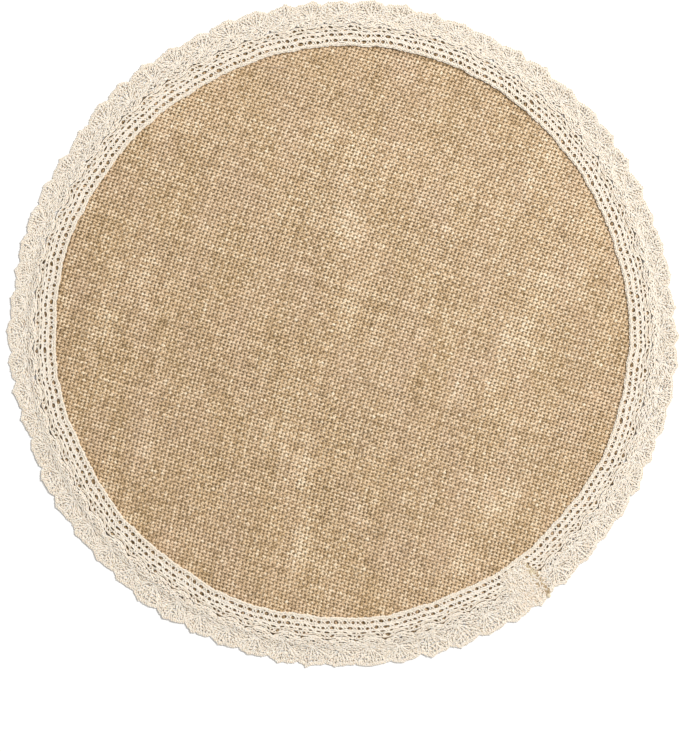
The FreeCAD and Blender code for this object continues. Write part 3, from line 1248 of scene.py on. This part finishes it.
@dataclass
class Sewing:
    """The threads: two seams round the tape, one across its lapped ends and the binding of the cut edge."""

    lay: Lay
    tape: LaceTape
    thread: float = 0.42 * MM
    stitch: float = 3.2 * MM
    heading_seam: float = 1.0 * MM
    rim_seam: float = 9.55 * MM
    seed: int = 47

    def running(self, bundle: Strands, out: float, over: float, under: float) -> None:
        """Add a line of machine stitches: a thread that lies on one face and dips at each needle hole.

        Its height is the upper level less a high power of a cosine, which is sharp at each hole.

        Args:
            bundle: Where the thread goes.
            out: Distance from the tape's inner edge.
            over: Height of the thread between holes, above the table.
            under: Height of the dips, above the table.
        """
        count = round(TURN * (self.tape.inner_radius + out) / self.stitch)
        rings = 4
        steps = np.arange(count * rings)
        angle = TURN * steps / len(steps)
        dip = np.cos(math.pi * steps / rings) ** 8
        radius = self.tape.inner(angle) + out + 0 * steps
        x, y = radius * np.cos(angle), radius * np.sin(angle)
        z = over + (under - over) * dip + self.lay.swell(x, y)
        path = np.stack([x, y, z], axis=-1)[None]
        bundle.add(path, self.thread / 2, self.thread / 2 * 0.8, 0.5, sides=5, loop=True)

    def overlock(self, bundle: Strands, wraps: int = 360) -> None:
        """Add the binding of the burlap's cut edge: one thread wound round the edge.

        A turn goes over the edge, round it and back under it: a flat loop in the upright plane, as a
        superellipse, while it moves on along the rim.
        """
        rings = 10
        steps = np.arange(wraps * rings)
        around = TURN * steps / rings
        angle = TURN * steps / len(steps)
        half_run, half_tall = 1.5 * MM, self.lay.panel_thickness / 2 - 0.1 * MM
        lean_in = np.sign(np.cos(around)) * np.abs(np.cos(around)) ** 0.6
        radius = self.lay.panel_radius - half_run + 0.25 * MM + half_run * lean_in
        z = self.lay.panel_thickness / 2 + half_tall * np.sign(np.sin(around)) * np.abs(np.sin(around)) ** 0.6
        path = np.stack([radius * np.cos(angle), radius * np.sin(angle), z], axis=-1)[None]
        bundle.add(path, self.thread * 0.6, self.thread * 0.4, 0.5, sides=4, loop=True)

    def join(self, bundle: Strands) -> None:
        """Add the join: uneven zigzag stitches across the tape, sunk between its yarns, and a thread end.

        Each of six strands wanders across the join by a triangle wave and up and down by a faster cosine,
        so that it shows in short stretches. The thread's end is a small coil past the edge.
        """
        rng = np.random.default_rng(self.seed)
        rings, strands = 110, 6
        t = np.linspace(0, 1, rings)[None, :]
        lines = np.arange(strands)[:, None]
        middle = self.tape.scallops * (self.tape.lap_start - math.radians(0.2)) / TURN
        edge = self.tape.edge_out(np.array([middle]))[0]
        wave = np.arcsin(np.sin(TURN * t * (10 + lines % 3) + 1.9 * lines)) / (math.pi / 2)
        bulge = 0.35 + 0.65 * np.sin(math.pi * t)
        drift = 0.5 * smooth_noise(rng, (strands, rings), t, 0.11)
        across = (0.9 * wave + 0.45 * (lines - 3) + drift) * bulge * (1 + t) * MM
        u = middle + across / self.tape.pitch(12 * MM)
        out = 5.0 * MM + (edge - 5.6 * MM) * t + 0.35 * MM * np.sin(TURN * t * 23 + lines)
        patch = np.exp(-(((out - 11 * MM) / (2.6 * MM)) ** 2))
        height = (1.0 + 0.5 * np.cos(TURN * t * (17 + lines) + 2.2 * lines) + 0.4 * patch) * MM
        path = self.tape.place(u, out, height)
        shade = 0.5 + 0.2 * patch - 0.25 * (out > 15 * MM) + 0.2 * rng.normal(size=(strands, rings))
        bundle.add(path, self.thread * 0.62, self.thread * 0.55, np.clip(shade, 0, 1), sides=5)
        coil = np.linspace(0, 1, 70)[None, :]
        around = TURN * 4.5 * coil
        reach = (0.45 + 0.6 * np.sin(math.pi * coil)) * MM
        u = middle - 0.05 + reach * np.cos(around) / self.tape.pitch(25 * MM)
        out = edge - 1.2 * MM + 2.4 * MM * coil
        path = self.tape.place(u, out, 0.9 * MM + 0.7 * reach * np.sin(around))
        bundle.add(path, self.thread * 0.8, self.thread * 0.7, 0.95, sides=5)

    def build(
        self, sewing: bpy.types.Material, binding_finish: bpy.types.Material, join: bpy.types.Material
    ) -> list[bpy.types.Object]:
        """Build and dress the threads.

        Args:
            sewing: The seams' finish.
            binding_finish: The cut edge's binding's finish.
            join: The join's finish.

        Returns:
            The threads' pieces.
        """
        top = self.lay.panel_thickness + 1.15 * MM
        needle = Strands("seam_needle_threads")
        self.running(needle, self.heading_seam, top, top - 0.8 * MM)
        self.running(needle, self.rim_seam, top - 0.1 * MM, top - 0.8 * MM)
        bobbin = Strands("seam_bobbin_threads")
        self.running(bobbin, self.heading_seam, 0.12 * MM, 0.6 * MM)
        self.running(bobbin, self.rim_seam, 0.12 * MM, 0.6 * MM)
        binding = Strands("edge_overlock_binding")
        self.overlock(binding)
        across = Strands("join_zigzag")
        self.join(across)
        return [
            dress(needle.mesh(), sewing, Slot.SEWING, "heading_needle_thread", "rim_needle_thread"),
            dress(bobbin.mesh(), sewing, Slot.SEWING, "heading_bobbin_thread", "rim_bobbin_thread"),
            dress(binding.mesh(), binding_finish, Slot.JOIN, "edge_overlock_thread"),
            dress(across.mesh(), join, Slot.JOIN, "join_needle_thread", "join_bobbin_thread"),
        ]


# ---------------------------------------------------------------- studio


@dataclass
class Studio:
    """The table, the light and the camera."""

    table_half: float = 3.0
    lamp_size: float = 0.8
    lamp_power: float = 80.0
    lamp_place: tuple[float, float, float] = (1.4, 1.0, 2.4)
    room_light: float = 0.47
    view_width: float = 383.2 * MM
    look_at: tuple[float, float] = (-1.6 * MM, -23.5 * MM)
    camera_height: float = 1.5
    frame_shape: tuple[int, int] = (679, 752)

    def table(self) -> None:
        """Lay the white table under the skirt."""
        half = self.table_half
        mesh = bpy.data.meshes.new("table")
        corners = [(-half, -half, 0), (half, -half, 0), (half, half, 0), (-half, half, 0)]
        mesh.from_pydata(corners, [], [(0, 1, 2, 3)])
        table = bpy.data.objects.new("table", mesh)
        bpy.context.scene.collection.objects.link(table)
        table.location.z = -0.02 * MM
        mesh.materials.append(PaintedTableFinish().material())

    def light(self) -> None:
        """Hang a broad soft lamp to the upper right and fill the room with even white."""
        lamp = bpy.data.lights.new("soft_key", "AREA")
        lamp.shape = "DISK"
        lamp.size = self.lamp_size
        lamp.energy = self.lamp_power
        lamp.color = (1.0, 0.99, 0.975)
        key = bpy.data.objects.new("soft_key", lamp)
        key.location = self.lamp_place
        key.rotation_euler = mathutils.Vector(key.location).to_track_quat("Z", "Y").to_euler()
        key.visible_camera = False
        bpy.context.scene.collection.objects.link(key)
        world = bpy.data.worlds.new("white_room")
        world.use_nodes = True
        sky = world.node_tree.nodes["Background"].inputs
        sky["Color"].default_value = (1, 1, 1, 1)
        sky["Strength"].default_value = self.room_light
        bpy.context.scene.world = world

    def camera(self) -> None:
        """Look straight down with a long lens that takes in the whole skirt."""
        lens = bpy.data.cameras.new("overhead")
        wide, tall = self.frame_shape
        long_side = self.view_width * tall / wide
        lens.sensor_width = 36.0
        lens.lens = 36.0 * self.camera_height / long_side
        lens.clip_start, lens.clip_end = 0.05, 10
        view = bpy.data.objects.new("overhead", lens)
        view.location = (*self.look_at, self.camera_height)
        bpy.context.scene.collection.objects.link(view)
        bpy.context.scene.camera = view

    def build(self) -> None:
        """Set up the whole studio."""
        self.table()
        self.light()
        self.camera()
        bpy.context.scene.view_settings.view_transform = "Standard"


def main() -> None:
    """Build the skirt and the studio round it."""
    logging.basicConfig(level=logging.INFO, format="%(message)s")
    panel_low, panel_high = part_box("burlap_panel")
    _, heading_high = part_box("lace_heading")
    _, shells_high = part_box("lace_shell_edge")
    _, overlock_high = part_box("edge_overlock_thread")
    lay = Lay(
        panel_radius=panel_high[0],
        panel_thickness=panel_high[2],
        drop_start=overlock_high[0] + 0.6 * MM,
        drop_end=overlock_high[0] + 4.6 * MM,
    )
    Studio().build()
    ground, yarns = BurlapCloth(lay).build()
    tape = LaceTape(lay, inner_radius=heading_high[0] - 2.0 * MM, tip_radius=shells_high[0])
    lace = tape.build(COTTON.material())
    lace += Sewing(lay, tape).build(
        SEWING_THREAD.material(), BINDING_THREAD.material(), JOIN_THREAD.material()
    )


if __name__ == "__main__":
    main()
